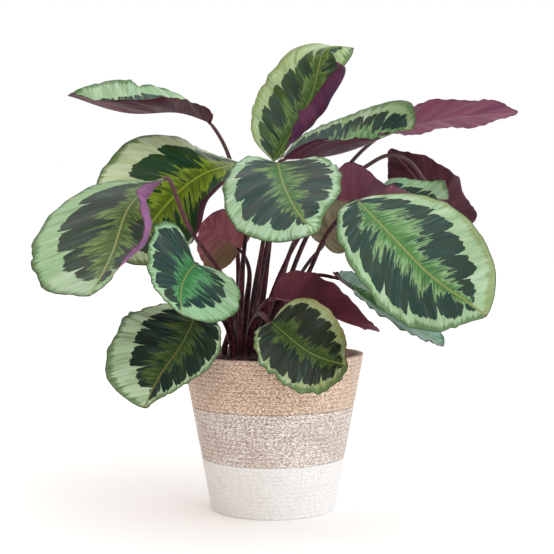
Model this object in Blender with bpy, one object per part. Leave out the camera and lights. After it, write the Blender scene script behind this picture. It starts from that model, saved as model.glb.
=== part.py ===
"""A potted calathea: round painted leaves on long stalks, in soil in a black growing pot, inside a coiled rope basket.

The origin is the centre of the basket's underside, X is right, Y is back and Z is up. Leaf sizes below are in
millimetres and angles in degrees; everything that Blender is given is in metres.
"""

import math
from dataclasses import dataclass

import bpy
import numpy as np

MM = 0.001
GAP = 0.3 * MM

# Basket: a straight cone of rope coils in three colours.
BASKET_HEIGHT = 175 * MM
BASKET_BOTTOM_RADIUS = 70 * MM
BASKET_TOP_RADIUS = 102.5 * MM
BASKET_WALL = 5 * MM
BASKET_FLOOR = 5 * MM
COILS_IN_BAND = 6
COIL_DEPTH = 1.2 * MM
FLOOR_ROUNDING = 4 * MM
BASKET_SIDES = 40

# Growing pot, hidden in the basket.
POT_HEIGHT = 160 * MM
POT_WALL = 1.6 * MM
POT_CLEARANCE = 3 * MM
POT_LIP = 2 * MM
POT_LIP_HEIGHT = 8 * MM
POT_SIDES = 32

# Soil, a little higher in the middle than at the pot's wall.
SOIL_EDGE_HEIGHT = 162 * MM
SOIL_CROWN = 13 * MM
SOIL_RINGS = 5

# Stalks stand upright in the soil and bend only above it.
STALK_FOOT_HEIGHT = 148 * MM
STALK_BEND_HEIGHT = 178 * MM
STALK_FOOT_RADIUS = 3.4 * MM
STALK_RADIUS = 2.5 * MM
STALK_TIP_RADIUS = 2.1 * MM
STALK_SIDES = 6
STALK_STEPS = 12
# The stalk's end lies under the midrib, behind a joint where it turns along the blade.
STALK_UNDER_BLADE = 4 * MM
STALK_JOINT = 9 * MM
STALK_JOINT_DROP = 4 * MM

# Blades
BLADE_THICKNESS = 0.8 * MM
BLADE_ROWS = 13
BLADE_COLUMNS = 4
CURLED_COLUMNS = 6
CURLED_FROM = 60
RIB_SAMPLES = 120
ACROSS_STEPS = 10
WAVE_COUNT = 3
RIGHT_WAVE_LAG = 0.37
# The flat outline of a half: an arch over the midrib, with a short point at the tip.
ARCH_POWER = 0.78
TIP_SHARE = 0.14
TIP_NARROWING = 0.22
TIP_POINT = 0.045
# Side veins leave the midrib low and sweep towards the tip.
VEIN_POWER = 1.8
VEIN_SWEEP = 1.2


@dataclass
class Leaf:
    """One leaf. Points are (right, back, up). Left and right are seen from the base to the tip, upper side up."""

    rib: list  # the midrib, from the blade's base to its tip
    face: list  # where the upper side looks, from the base to the tip
    half_widths: tuple  # of the left and right half
    fold: tuple  # angle each half is raised at the midrib, from the base to the tip
    foot: tuple  # where the stalk leaves the soil
    stalk: list  # points that the stalk passes on its way to the base
    curl: tuple = ([0], [0])  # how much further each half has turned at its margin
    belly: tuple = (0.1, 0.1)  # how much each half is wider towards the base than towards the tip
    lobe: tuple = (0.1, 0.1)  # how far each half reaches back beside the stalk
    wave: tuple = (2.5, 0)  # the margin's wave: its height, and where it starts as a share of one wave


LEAVES = [
    # far back on the left, seen nearly edge-on
    Leaf(
        rib=[(-75, 86, 444), (-117, 88, 457), (-167, 74, 454), (-246, 96, 478)],
        face=[(0.4, 0, 0.9), (0.1, -0.3, 1), (0, -0.45, 0.9)],
        half_widths=(61, 62),
        fold=([15, 25, 30], [15, 25, 30]),
        lobe=(0.1, -0.1),
        wave=(3, -0.1),
        foot=(-57, 45),
        stalk=[(-42, 65, 232), (-44, 90, 303), (-53, 108, 401)],
    ),
    # upper left, behind the next one, its left half curled up
    Leaf(
        rib=[(-33, 59, 392), (-83, 42, 379), (-139, 50, 328), (-169, 20, 277)],
        face=[(0, -0.35, 1), (0.4, -0.65, 0.65), (0, -1, 0)],
        half_widths=(74, 90),
        fold=([5, -15, 0], [0, 5, 15]),
        curl=([40, 115, 120], [-25, 20]),
        belly=(0, 0.1),
        lobe=(0.1, 0),
        wave=(2.5, 0.25),
        foot=(-44, 25),
        stalk=[(-38, 32, 233), (-34, 42, 291), (-27, 52, 350)],
    ),
    # far left, its left half rolled towards the viewer
    Leaf(
        rib=[(-119, -54, 369), (-153, -58, 341), (-167, -84, 296), (-182, -160, 246)],
        face=[(-0.3, -0.6, 0.75), (-0.2, -0.9, 0.4), (-0.45, -0.75, 0.5)],
        half_widths=(67, 96),
        fold=([20, 0, 10], [-28, 0, 10]),
        curl=([95, 135, 105], [0]),
        belly=(0.3, 0.15),
        lobe=(0, -0.05),
        wave=(3, 0),
        foot=(-38, 1),
        stalk=[(-41, 0, 223), (-63, -4, 271), (-98, -33, 328)],
    ),
    # top centre, upright, its right half rolled over
    Leaf(
        rib=[(0, 38, 395), (29, 67, 442), (50, 66, 489), (62, 58, 527), (95, 59, 529)],
        face=[(-0.2, -0.95, 0.25), (0, -1, -0.1), (-0.45, -0.45, 0.75)],
        half_widths=(58, 68),
        fold=([30, -5, -30], [46, 35, -40]),
        curl=([0], [165, 195, 160, 85]),
        belly=(0.1, -0.15),
        lobe=(0, 0.05),
        wave=(3, 0.3),
        foot=(-27, 22),
        stalk=[(-20, 28, 233), (-8, 30, 291), (0, 30, 355)],
    ),
    # upper right, folded like a trough
    Leaf(
        rib=[(12, 78, 400), (69, 88, 405), (118, 98, 421), (152, 98, 435), (167, 75, 434)],
        face=[(0.5, 0, 0.8), (-0.1, -0.6, 0.8), (-0.4, -0.7, 0.6)],
        half_widths=(66, 90),
        fold=([24, 3, 24], [40, 38, 40]),
        belly=(0.1, 0.2),
        lobe=(-0.1, -0.35),
        wave=(-2, 0.15),
        foot=(-21, 34),
        stalk=[(-13, 48, 232), (-5, 62, 291), (0, 76, 350)],
    ),
    # far right at the top, seen from below
    Leaf(
        rib=[(140, 150, 440), (188, 152, 451), (228, 154, 458), (268, 158, 462), (310, 162, 465)],
        face=[(0, 0.3, 1), (0, 0.3, 1)],
        half_widths=(48, 50),
        fold=([5, 5], [5, 5]),
        belly=(-0.2, 0.3),
        lobe=(0, 0),
        wave=(2.5, -0.3),
        foot=(-13, 40),
        stalk=[(3, 50, 232), (21, 68, 291), (51, 93, 345), (85, 117, 386), (112, 134, 416)],
    ),
    # centre, facing the viewer
    Leaf(
        rib=[(6, 0, 390), (11, -51, 365), (33, -123, 322), (48, -131, 312)],
        face=[(0, -0.85, 0.5), (-0.55, -0.15, 0.8)],
        half_widths=(61, 68),
        fold=([10, 0], [10, 0]),
        curl=([10, -55], [-40, 25]),
        belly=(0.05, 0),
        lobe=(0, 0.2),
        wave=(-2.5, 0.1),
        foot=(-29, 8),
        stalk=[(-22, 10, 234), (-13, 10, 291), (-1, 6, 354)],
    ),
    # right of the centre, its near half folded up
    Leaf(
        rib=[(75, 63, 353), (115, 50, 345), (159, 39, 344), (199, 5, 349)],
        face=[(0, 0.35, 0.95), (0.55, -0.35, 0.75), (-0.3, -0.25, 0.95)],
        half_widths=(53, 59),
        fold=([15, 25, 35], [45, 35, 25]),
        belly=(0.05, 0.15),
        wave=(2, 0.5),
        foot=(-18, 12),
        stalk=[(-6, 18, 222), (16, 30, 280), (43, 46, 324)],
    ),
    # right, behind, its underside to the viewer
    Leaf(
        rib=[(229, 119, 317), (204, 128, 340), (176, 116, 379), (142, 112, 414)],
        face=[(-0.1, 0.95, -0.2), (0.6, 0.75, 0.3)],
        half_widths=(43, 41),
        fold=([20, -15], [0, 5]),
        belly=(0.35, 0.1),
        lobe=(0.15, 0.1),
        wave=(3, 0.2),
        foot=(-6, 30),
        stalk=[
            (8, 42, 221),
            (27, 70, 277),
            (56, 86, 337),
            (85, 92, 374),
            (115, 98, 394),
            (139, 98, 406),
            (164, 98, 400),
            (183, 99, 377),
            (211, 102, 340),
        ],
    ),
    # the large one on the right, facing the viewer
    Leaf(
        rib=[(92, -41, 346), (133, -66, 301), (174, -60, 261), (208, -61, 237), (234, -45, 219)],
        face=[(0.35, -0.95, 0.05), (0.25, -0.95, 0.25), (0.15, -0.95, 0.2)],
        half_widths=(80, 64),
        fold=([-15, 15], [20, -40]),
        lobe=(0, 0),
        wave=(3, 0.5),
        foot=(-8, 6),
        stalk=[(14, 4, 223), (40, 2, 265), (59, -4, 307), (78, -20, 332)],
    ),
    # under the large one, nearly edge-on
    Leaf(
        rib=[(73, 23, 260), (114, 9, 230), (149, -3, 210), (193, -5, 183)],
        face=[(-0.25, 0.1, 0.95), (-0.15, -0.25, 0.95)],
        half_widths=(48, 41),
        fold=([20, 30], [15, 5]),
        wave=(1.5, 0.35),
        foot=(0, 18),
        stalk=[(20, 25, 228), (45, 30, 261)],
    ),
    # low, right of the centre, its near half folded up
    Leaf(
        rib=[(0, -46, 239), (41, -38, 229), (78, -48, 213), (116, -38, 202)],
        face=[(-0.4, 0.1, 0.9), (-0.25, 0, 0.95)],
        half_widths=(25, 44),
        fold=([40, 30, 10], [45, 60, -10]),
        lobe=(-0.1, 0.1),
        wave=(3, 0.25),
        foot=(-18, -6),
        stalk=[(-20, -14, 207)],
    ),
    # lowest in the middle, hanging over the rim
    Leaf(
        rib=[(-1, -94, 216), (36, -114, 187), (57, -129, 179), (75, -167, 178)],
        face=[(-0.15, -0.6, 0.8), (0.2, -1, 0)],
        half_widths=(46, 59),
        fold=([40, 0], [30, 20]),
        belly=(0.35, 0.25),
        lobe=(0.05, 0),
        wave=(3, 0.25),
        foot=(-29, -9),
        stalk=[(-24, -26, 205), (-13, -60, 222)],
    ),
    # left of the centre, the right half's lobe standing up behind its base
    Leaf(
        rib=[(-84, -55, 277), (-95, -90, 257), (-93, -133, 226)],
        face=[(0.35, -0.4, 0.85), (0.35, -0.9, 0.2), (0.45, -0.85, 0.2)],
        half_widths=(66, 58),
        fold=([10, -10], [30, 25, 10]),
        belly=(0.1, 0.3),
        lobe=(0.05, 0.45),
        wave=(0.5, 0.2),
        foot=(-47, 9),
        stalk=[(-50, 0, 221), (-63, -28, 254)],
    ),
    # lower left, hanging beside the rim
    Leaf(
        rib=[(-80, -74, 227), (-98, -80, 189), (-119, -85, 159), (-134, -102, 126)],
        face=[(-0.3, -0.85, 0.5), (-0.3, -0.9, 0.2)],
        half_widths=(43, 80),
        fold=([8, 15], [-5, 0]),
        belly=(0.45, 0.1),
        lobe=(0, 0),
        wave=(2.5, 0.6),
        foot=(-45, -11),
        stalk=[(-50, -22, 205), (-62, -42, 224)],
    ),
    # small, behind the centre on the left, its underside to the viewer
    Leaf(
        rib=[(-40, 70, 291), (-61, 76, 306), (-88, 80, 320)],
        face=[(0, 1, 0.1)],
        half_widths=(36, 40),
        fold=([0], [0]),
        foot=(-34, 36),
        stalk=[(-31, 54, 232), (-29, 64, 270)],
    ),
    # small, behind the centre on the right, its underside to the viewer
    Leaf(
        rib=[(62, 112, 298), (82, 118, 326), (115, 122, 363)],
        face=[(0.1, 1, 0.1)],
        half_widths=(34, 30),
        fold=([0], [0]),
        foot=(0, 44),
        stalk=[(20, 70, 231), (40, 96, 272)],
    ),
]


def unit(vectors):
    return vectors / np.maximum(np.linalg.norm(vectors, axis=-1, keepdims=True), 1e-12)


def between(values, share):
    """Reads evenly spaced values, or directions, at a share from 0 to 1, easing from each to the next."""
    values = np.asarray(values, float)
    if len(values) == 1:
        values = np.concatenate([values, values])
    place = np.clip(share, 0, 1) * (len(values) - 1)
    lower = np.minimum(place.astype(int), len(values) - 2)
    ease = smooth_step(place - lower)
    if values.ndim > 1:
        ease = ease[..., None]
    return values[lower] * (1 - ease) + values[lower + 1] * ease


def smooth_line(points, samples):
    """Points along a natural cubic spline through the given ones."""
    points = np.asarray(points, float)
    count = len(points)
    knots = np.concatenate([[0], np.cumsum(np.linalg.norm(np.diff(points, axis=0), axis=1) ** 0.5)])
    steps = np.diff(knots)
    rises = np.diff(points, axis=0) / steps[:, None]
    system = np.eye(count)
    sides = np.zeros_like(points)
    for i in range(1, count - 1):
        system[i, i - 1 : i + 2] = steps[i - 1], 2 * (steps[i - 1] + steps[i]), steps[i]
        sides[i] = 6 * (rises[i] - rises[i - 1])
    bends = np.linalg.solve(system, sides)
    at = np.linspace(0, knots[-1], samples)
    piece = np.clip(np.searchsorted(knots, at, side="right") - 1, 0, count - 2)
    step = steps[piece][:, None]
    past = (at - knots[piece])[:, None]
    slope = rises[piece] - step * (2 * bends[piece] + bends[piece + 1]) / 6
    growth = (bends[piece + 1] - bends[piece]) / step
    return points[piece] + slope * past + bends[piece] * past**2 / 2 + growth * past**3 / 6


def vein(position, belly, lobe):
    """A side vein, from its position 0 at the base to 1 at the tip.

    Gives the margin's distance from the midrib as a share of the half width, and the places along the midrib that
    the vein's outer end lies beside and that it starts from, as shares of the length.
    """
    to_tip = smooth_step((position - (1 - TIP_SHARE)) / TIP_SHARE)
    arch = np.sin(np.pi * position) ** ARCH_POWER
    reach = arch * (1 + belly * np.cos(np.pi * position)) * (1 - TIP_NARROWING * to_tip)
    back = lobe * np.sin(2 * np.pi * np.minimum(position, 0.5)) * (1 - position) ** 2
    end = (0.5 - 0.5 * np.cos(np.pi * position) - back) * (1 - TIP_POINT) + TIP_POINT * to_tip
    start = position**VEIN_POWER
    return reach, end, start


def smooth_step(share):
    share = np.clip(share, 0, 1)
    return share * share * (3 - 2 * share)


def blade_half(leaf, side, position, outward):
    """Points of one half in millimetres. side is -1 or 1, outward is 0 at the midrib and 1 at the margin."""
    which = 0 if side < 0 else 1
    rib = smooth_line(leaf.rib, RIB_SAMPLES)
    walked = np.concatenate([[0], np.cumsum(np.linalg.norm(np.diff(rib, axis=0), axis=1))])
    length = walked[-1]
    width = leaf.half_widths[which]
    reach, end, start = vein(position, leaf.belly[which], leaf.lobe[which])
    across = width * reach * outward
    along = length * (start + (end - start) * outward**VEIN_SWEEP)
    foot = np.stack([np.interp(along, walked, rib[:, axis]) for axis in range(3)], axis=-1)
    directions = unit(np.gradient(rib, axis=0))
    forward = unit(np.stack([np.interp(along, walked, directions[:, axis]) for axis in range(3)], axis=-1))
    foot = foot + forward * np.minimum(along, 0)[..., None]
    share = np.clip(along / length, 0, 1)
    looks = between(unit(np.asarray(leaf.face, float)), share)
    up = unit(looks - np.sum(looks * forward, axis=-1, keepdims=True) * forward)
    sideways = np.cross(forward, up) * side
    fold = np.radians(between(leaf.fold[which], share))
    curl = np.radians(between(leaf.curl[which], share))
    out = across / width
    points = foot
    for step in range(ACROSS_STEPS):
        middle = (step + 0.5) / ACROSS_STEPS * out
        angle = (fold + curl * middle**2)[..., None]
        points = points + (np.cos(angle) * sideways + np.sin(angle) * up) * (across / ACROSS_STEPS)[..., None]
    angle = (fold + curl * out**2)[..., None]
    normal = np.cos(angle) * up - np.sin(angle) * sideways
    height, lag = leaf.wave
    turns = WAVE_COUNT * position + lag + RIGHT_WAVE_LAG * which
    swing = height * outward**2 * np.sqrt(np.sin(np.pi * position)) * np.sin(2 * np.pi * turns)
    return points + normal * swing[..., None]


def columns_of(leaf, which):
    return CURLED_COLUMNS if max(np.abs(leaf.curl[which])) > CURLED_FROM else BLADE_COLUMNS


def blade_grid(leaf):
    """The blade's middle surface: its points in metres, its triangles, and its margin as a loop of points."""
    position = np.linspace(0, 1, BLADE_ROWS + 1)[:, None]
    left_out = np.linspace(0, 1, columns_of(leaf, 0) + 1)[None, :]
    right_out = np.linspace(0, 1, columns_of(leaf, 1) + 1)[None, :]
    left = blade_half(leaf, -1, position, left_out)
    right = blade_half(leaf, 1, position, right_out)
    rows = np.concatenate([left[1:-1, :0:-1], right[1:-1]], axis=1)
    wide = rows.shape[1]
    points = np.concatenate([left[:1, 0], rows.reshape(-1, 3), left[-1:, 0]]) * MM
    base, tip = 0, len(points) - 1

    def index(row, column):
        return 1 + row * wide + column

    faces = []
    last = BLADE_ROWS - 2
    for column in range(wide - 1):
        faces.append((base, index(0, column + 1), index(0, column)))
        faces.append((index(last, column), index(last, column + 1), tip))
        for row in range(last):
            a, b = index(row, column), index(row, column + 1)
            d, c = index(row + 1, column), index(row + 1, column + 1)
            faces += [(a, b, c), (a, c, d)]
    right_margin = [index(row, wide - 1) for row in range(last + 1)]
    left_margin = [index(row, 0) for row in range(last, -1, -1)]
    return points, faces, [base, *right_margin, tip, *left_margin]


def point_normals(points, faces):
    normals = np.zeros_like(points)
    for a, b, c in faces:
        normals[[a, b, c]] += np.cross(points[b] - points[a], points[c] - points[a])
    return unit(normals)


def blade_mesh(leaf):
    """Both faces are the middle surface moved half the thickness, split into triangles alike, with a rim between."""
    points, faces, margin = blade_grid(leaf)
    lift = point_normals(points, faces) * BLADE_THICKNESS / 2
    under = len(points)
    solid = list(faces)
    solid += [(c + under, b + under, a + under) for a, b, c in faces]
    for a, b in zip(margin, margin[1:] + margin[:1]):
        solid += [(a, a + under, b + under), (a, b + under, b)]
    return np.concatenate([points + lift, points - lift]), solid


def stalk_line(leaf):
    """Centre points of the stalk, from its foot in the soil to just under the blade's base."""
    rib = smooth_line(leaf.rib, RIB_SAMPLES) * MM
    forward = unit(rib[1] - rib[0])
    looks = np.asarray(leaf.face[0], float)
    up = unit(looks - np.dot(looks, forward) * forward)
    below = STALK_TIP_RADIUS + BLADE_THICKNESS / 2 + GAP
    end = rib[0] + forward * STALK_UNDER_BLADE - up * below
    joint = rib[0] - forward * STALK_JOINT - up * (below + STALK_JOINT_DROP)
    x, y = np.array(leaf.foot) * MM
    bend = np.array([x, y, STALK_BEND_HEIGHT])
    passed = [np.array(point) * MM for point in leaf.stalk]
    above = smooth_line([bend, *passed, joint], STALK_STEPS + 1)
    return np.concatenate([[[x, y, STALK_FOOT_HEIGHT]], above, [end]])


def stalk_mesh(leaf):
    line = stalk_line(leaf)
    count = len(line)
    directions = unit(np.gradient(line, axis=0))
    directions[:2] = (0, 0, 1)
    thinning = np.clip(np.linspace(-0.1, 1.6, count), 0, 1)
    radii = STALK_FOOT_RADIUS + (STALK_RADIUS - STALK_FOOT_RADIUS) * thinning
    radii[-1] = STALK_TIP_RADIUS
    side = np.array([1.0, 0.0, 0.0])
    points = []
    for centre, direction, radius in zip(line, directions, radii):
        side = unit(side - np.dot(side, direction) * direction)
        other = np.cross(direction, side)
        for corner in range(STALK_SIDES):
            turn = 2 * math.pi * corner / STALK_SIDES
            points.append(centre + radius * (math.cos(turn) * side + math.sin(turn) * other))
    faces = []
    for ring in range(count - 1):
        for corner in range(STALK_SIDES):
            a = ring * STALK_SIDES + corner
            b = ring * STALK_SIDES + (corner + 1) % STALK_SIDES
            faces += [(a, b, b + STALK_SIDES), (a, b + STALK_SIDES, a + STALK_SIDES)]
    first_cap = list(range(STALK_SIDES))[::-1]
    last_cap = [(count - 1) * STALK_SIDES + corner for corner in range(STALK_SIDES)]
    return points, faces + [first_cap, last_cap]


def turned(profile, sides):
    """Turns a closed (radius, height) outline, which runs anticlockwise, round Z. Radius 0 gives one point."""
    points, rings = [], []
    for radius, height in profile:
        if radius == 0:
            rings.append([len(points)] * sides)
            points.append((0, 0, height))
            continue
        rings.append(list(range(len(points), len(points) + sides)))
        for side in range(sides):
            turn = 2 * math.pi * side / sides
            points.append((radius * math.cos(turn), radius * math.sin(turn), height))
    faces = []
    for lower, upper in zip(rings, rings[1:] + rings[:1]):
        for side in range(sides):
            following = (side + 1) % sides
            corners = [lower[side], lower[following], upper[following], upper[side]]
            corners = list(dict.fromkeys(corners))
            if len(corners) > 2:
                faces.append(corners)
    return points, faces


def add_object(name, points, faces, material, smooth):
    mesh = bpy.data.meshes.new(name)
    mesh.from_pydata([tuple(point) for point in points], [], [tuple(face) for face in faces])
    mesh.materials.append(material)
    mesh.polygons.foreach_set("use_smooth", [smooth] * len(mesh.polygons))
    mesh.update()
    made = bpy.data.objects.new(name, mesh)
    bpy.context.scene.collection.objects.link(made)
    return made


def plain_material(name, colour, roughness):
    material = bpy.data.materials.new(name)
    material.use_nodes = True
    shader = material.node_tree.nodes["Principled BSDF"]
    shader.inputs["Base Color"].default_value = (*colour, 1)
    shader.inputs["Roughness"].default_value = roughness
    return material


def basket_radius(height):
    """The mean outer radius of the wall."""
    share = height / BASKET_HEIGHT
    return BASKET_BOTTOM_RADIUS + (BASKET_TOP_RADIUS - BASKET_BOTTOM_RADIUS) * share


def coil_outline(bottom, top):
    """Outer points of one band, from the bottom up: a crest in the middle of each coil and a groove between coils."""
    pitch = (top - bottom) / COILS_IN_BAND
    outline = [(basket_radius(bottom) - COIL_DEPTH, bottom)]
    for coil in range(COILS_IN_BAND):
        crest = bottom + (coil + 0.5) * pitch
        groove = bottom + (coil + 1) * pitch
        outline.append((basket_radius(crest), crest))
        outline.append((basket_radius(groove) - COIL_DEPTH, groove))
    return outline


def basket_band(name, bottom, top, material):
    """One ring of the wall, which stands a hair above the one below it."""
    inner = [(basket_radius(top) - BASKET_WALL, top), (basket_radius(bottom) - BASKET_WALL, bottom)]
    points, faces = turned(coil_outline(bottom, top) + inner, BASKET_SIDES)
    return add_object(name, points, faces, material, True)


def basket_lower(name, top, material):
    """The lowest ring, with the floor."""
    outer = coil_outline(0, top)
    outer[0] = (BASKET_BOTTOM_RADIUS - FLOOR_ROUNDING, 0)
    inner = [(basket_radius(top) - BASKET_WALL, top), (basket_radius(BASKET_FLOOR) - BASKET_WALL, BASKET_FLOOR)]
    points, faces = turned([(0, 0), *outer, *inner, (0, BASKET_FLOOR)], BASKET_SIDES)
    return add_object(name, points, faces, material, True)


def pot_radius(height):
    """The pot's outer radius, a fixed clearance inside the basket's wall."""
    return basket_radius(height) - BASKET_WALL - POT_CLEARANCE


def growing_pot(material):
    bottom = BASKET_FLOOR + GAP
    top = bottom + POT_HEIGHT
    lip = top - POT_LIP_HEIGHT
    floor = bottom + POT_WALL
    outline = [
        (0, bottom),
        (pot_radius(bottom), bottom),
        (pot_radius(lip), lip),
        (pot_radius(lip) + POT_LIP, lip),
        (pot_radius(top) + POT_LIP, top),
        (pot_radius(top) - POT_WALL, top),
        (pot_radius(floor) - POT_WALL, floor),
        (0, floor),
    ]
    points, faces = turned(outline, POT_SIDES)
    return add_object("growing_pot", points, faces, material, True)


def soil_top(share):
    """The height of the soil, at a share of its radius from the middle."""
    return SOIL_EDGE_HEIGHT + SOIL_CROWN * (1 - share**2)


def soil(material):
    bottom = BASKET_FLOOR + POT_WALL + 2 * GAP
    edge = pot_radius(SOIL_EDGE_HEIGHT) - POT_WALL - GAP
    outline = [(0, bottom), (pot_radius(bottom) - POT_WALL - GAP, bottom)]
    for ring in range(SOIL_RINGS, -1, -1):
        share = ring / SOIL_RINGS
        outline.append((edge * share, soil_top(share)))
    points, faces = turned(outline, POT_SIDES)
    made = add_object("soil", points, faces, material, False)
    cut = made.modifiers.new("stalk holes", "BOOLEAN")
    cut.operation = "DIFFERENCE"
    cut.solver = "EXACT"
    cut.object = stalk_holes()
    return made


def stalk_holes():
    """The cutter: one straight hole for each stalk, with the stalk's own sides."""
    points, faces = [], []
    radius = STALK_FOOT_RADIUS + GAP
    for leaf in LEAVES:
        x, y = np.array(leaf.foot) * MM
        first = len(points)
        for height in (STALK_FOOT_HEIGHT - GAP, BASKET_HEIGHT + SOIL_CROWN):
            for corner in range(STALK_SIDES):
                turn = 2 * math.pi * corner / STALK_SIDES
                points.append((x + radius * math.cos(turn), y + radius * math.sin(turn), height))
        for corner in range(STALK_SIDES):
            a = first + corner
            b = first + (corner + 1) % STALK_SIDES
            faces.append((a, b, b + STALK_SIDES, a + STALK_SIDES))
        faces.append([first + corner for corner in range(STALK_SIDES)][::-1])
        faces.append([first + STALK_SIDES + corner for corner in range(STALK_SIDES)])
    cutter = add_object("stalk_holes", points, faces, bpy.data.materials["soil"], False)
    cutter.hide_render = True
    cutter.display_type = "WIRE"
    return cutter


def clear_scene():
    for existing in list(bpy.data.objects):
        bpy.data.objects.remove(existing)


def build_basket():
    height = BASKET_HEIGHT / 3
    white = plain_material("rope_white", (0.86, 0.85, 0.82), 0.9)
    mixed = plain_material("rope_mixed", (0.72, 0.62, 0.52), 0.9)
    tan = plain_material("rope_tan", (0.60, 0.45, 0.32), 0.9)
    basket_lower("basket_lower", height, white)
    basket_band("basket_middle", height + GAP, 2 * height, mixed)
    basket_band("basket_upper", 2 * height + GAP, BASKET_HEIGHT, tan)


def build_leaves():
    blade = plain_material("leaf_blade", (0.10, 0.22, 0.12), 0.4)
    stalk = plain_material("leaf_stalk", (0.22, 0.07, 0.09), 0.5)
    for number, leaf in enumerate(LEAVES, start=1):
        add_object(f"leaf_{number:02d}_blade", *blade_mesh(leaf), blade, True)
        add_object(f"leaf_{number:02d}_stalk", *stalk_mesh(leaf), stalk, True)


def main():
    clear_scene()
    build_basket()
    growing_pot(plain_material("pot_plastic", (0.02, 0.02, 0.02), 0.5))
    soil(plain_material("soil", (0.06, 0.04, 0.03), 1.0))
    build_leaves()


main()
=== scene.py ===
"""Looks of the potted calathea: painted leaves on stalks, soil, and a coiled rope basket.

Leaf sizes are in millimetres and angles in degrees; everything that Blender is given is in metres. Colours are
written as they look on a screen, 0 to 255.
"""

import math
from dataclasses import dataclass

import bpy
import numpy as np
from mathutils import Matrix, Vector


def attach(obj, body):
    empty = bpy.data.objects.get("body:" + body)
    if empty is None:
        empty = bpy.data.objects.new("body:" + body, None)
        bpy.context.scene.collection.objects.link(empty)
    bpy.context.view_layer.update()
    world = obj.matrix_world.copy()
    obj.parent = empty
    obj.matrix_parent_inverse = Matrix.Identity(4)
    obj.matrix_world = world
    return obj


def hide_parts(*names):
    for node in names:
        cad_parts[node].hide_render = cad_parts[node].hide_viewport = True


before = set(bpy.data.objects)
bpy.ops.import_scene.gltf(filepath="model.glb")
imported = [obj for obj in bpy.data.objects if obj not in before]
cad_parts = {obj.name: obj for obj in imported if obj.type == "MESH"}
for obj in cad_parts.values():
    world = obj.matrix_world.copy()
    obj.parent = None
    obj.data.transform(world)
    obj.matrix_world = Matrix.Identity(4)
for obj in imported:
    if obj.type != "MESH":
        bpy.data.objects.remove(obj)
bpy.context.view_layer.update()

MM = 0.001
GAP = 0.3 * MM

# Basket: a straight cone of rope rows in bands of colour, with points up each row and around
BANDS = 3
BASKET_HEIGHT = 175 * MM
BASKET_BOTTOM_RADIUS = 70 * MM
BASKET_TOP_RADIUS = 102.5 * MM
BASKET_WALL = 5 * MM
BASKET_FLOOR = 5 * MM
ROWS_IN_BAND = 12
ROW_DEPTH = 0.4 * MM
ROW_STEPS = 6
INNER_ROW_STEPS = 3
AROUND = 560
# Strands in the shape, and the finer ones in the material
STRANDS_AROUND = 140
STRAND_RELIEF = 0.2 * MM
STRAND_SLANT = 2.2
ROW_TURN = 1.7
STRANDS_SEEN = 235
DASHES_IN_HALF_ROW = 2.8
SEAM_SHADE = 0.7
# Unevenness of rows: waves around, turn from row to row, and height in millimetres
LUMPS = ((5, 1, 0.12), (11, 2.3, 0.08))

# Soil: its crumbs are waves, each with a length in millimetres and a direction in radians
POT_WALL = 1.6 * MM
POT_CLEARANCE = 3 * MM
SOIL_EDGE_HEIGHT = 162 * MM
SOIL_CROWN = 13 * MM
SOIL_SINK = 1.5 * MM
SOIL_AROUND = 160
SOIL_RINGS = 60
CRUMB_HEIGHT = 0.1
CRUMB_WAVES = ((23, 0.3), (14, 1.2), (8.5, 2.1), (5.2, 0.8), (3.6, 1.7))

# Stalks: upright in the soil, bending above it, thicker in a sheath low down, and thin under the blade
STALK_FOOT_HEIGHT = 148 * MM
STALK_BEND_HEIGHT = 178 * MM
STALK_FOOT_RADIUS = 3.4 * MM
STALK_RADIUS = 2.5 * MM
STALK_TIP_RADIUS = 2.1 * MM
STALK_END_RADIUS = 0.8 * MM
STALK_TAPER = 1.6
STALK_TIP_LENGTH = 60 * MM
STALK_END_LENGTH = 9 * MM
SHEATH = 1.2 * MM
SHEATH_START = 25 * MM
SHEATH_LENGTH = 110 * MM
STALK_SIDES = 14
STALK_STEPS = 60
BASE_SAMPLES = 120
# The length over which the value rise goes from 0 to 1
STALK_COLOUR_REACH = 300 * MM
STALK_UNDER_BLADE = 4 * MM
STALK_JOINT = 9 * MM
STALK_JOINT_DROP = 4 * MM
# How far the tip lies under the blade, in its radii
STALK_SEAT = 0.6

# Blades
BLADE_THICKNESS = 0.5 * MM
BLADE_ROWS = 90
BLADE_COLUMNS = 18
FIRST_COLUMN = 0.05
# Extra lines of points beside the midrib, for its ridge on the underside
RIDGE_LINES = (0.008, 0.018, 0.03)
RIDGE_HEIGHT = 0.9 * MM
RIDGE_WIDTH = 0.022
RIDGE_START = 0.02
RIB_SAMPLES = 240
ACROSS_STEPS = 10
WAVE_COUNT = 3
RIGHT_WAVE_LAG = 0.37
ARCH_POWER = 0.78
TIP_SHARE = 0.14
TIP_NARROWING = 0.22
TIP_POINT = 0.045
VEIN_POWER = 1.8
VEIN_SWEEP = 1.2
# Main side veins lie in shallow grooves, and the right half's are set off from the left half's
MAIN_VEINS = 8
RIGHT_VEIN_LAG = 0.43
GROOVE_DEPTH = 0.7
# The margin: ruffles out of the surface, and notches and scallops in the outline as shares of the width, with the
# number of waves along it
RUFFLE = 1.4
RUFFLE_COUNTS = (8, 13, 19)
NOTCH = 0.014
NOTCH_COUNTS = (9, 14, 23)
SCALLOP = 0.014
# Painted strokes: fineness along the midrib and outward, and how halves and leaves are set apart
FINE = (90, 3)
TEETH = (55, 2)
BROAD = (20, 1.2)
SLOW = (5, 0)
UNDER_FINE = (80, 2)
UNDER_BROAD = (14, 1)
HALVES_APART = 7.3
LEAVES_APART = 3.7

# Light: the surround's level, and where it grows or fades: direction, where that starts and ends, and by how much
SKY_LEVEL = 1.07
SKY = [
    ((0.0, 0.0, 1.0), 0.35, 1.0, 0.55),
    ((-0.75, -0.66, 0.0), 0.1, 0.9, -0.55),
    ((0.55, -0.8, 0.2), 0.3, 1.0, 0.3),
]
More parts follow.
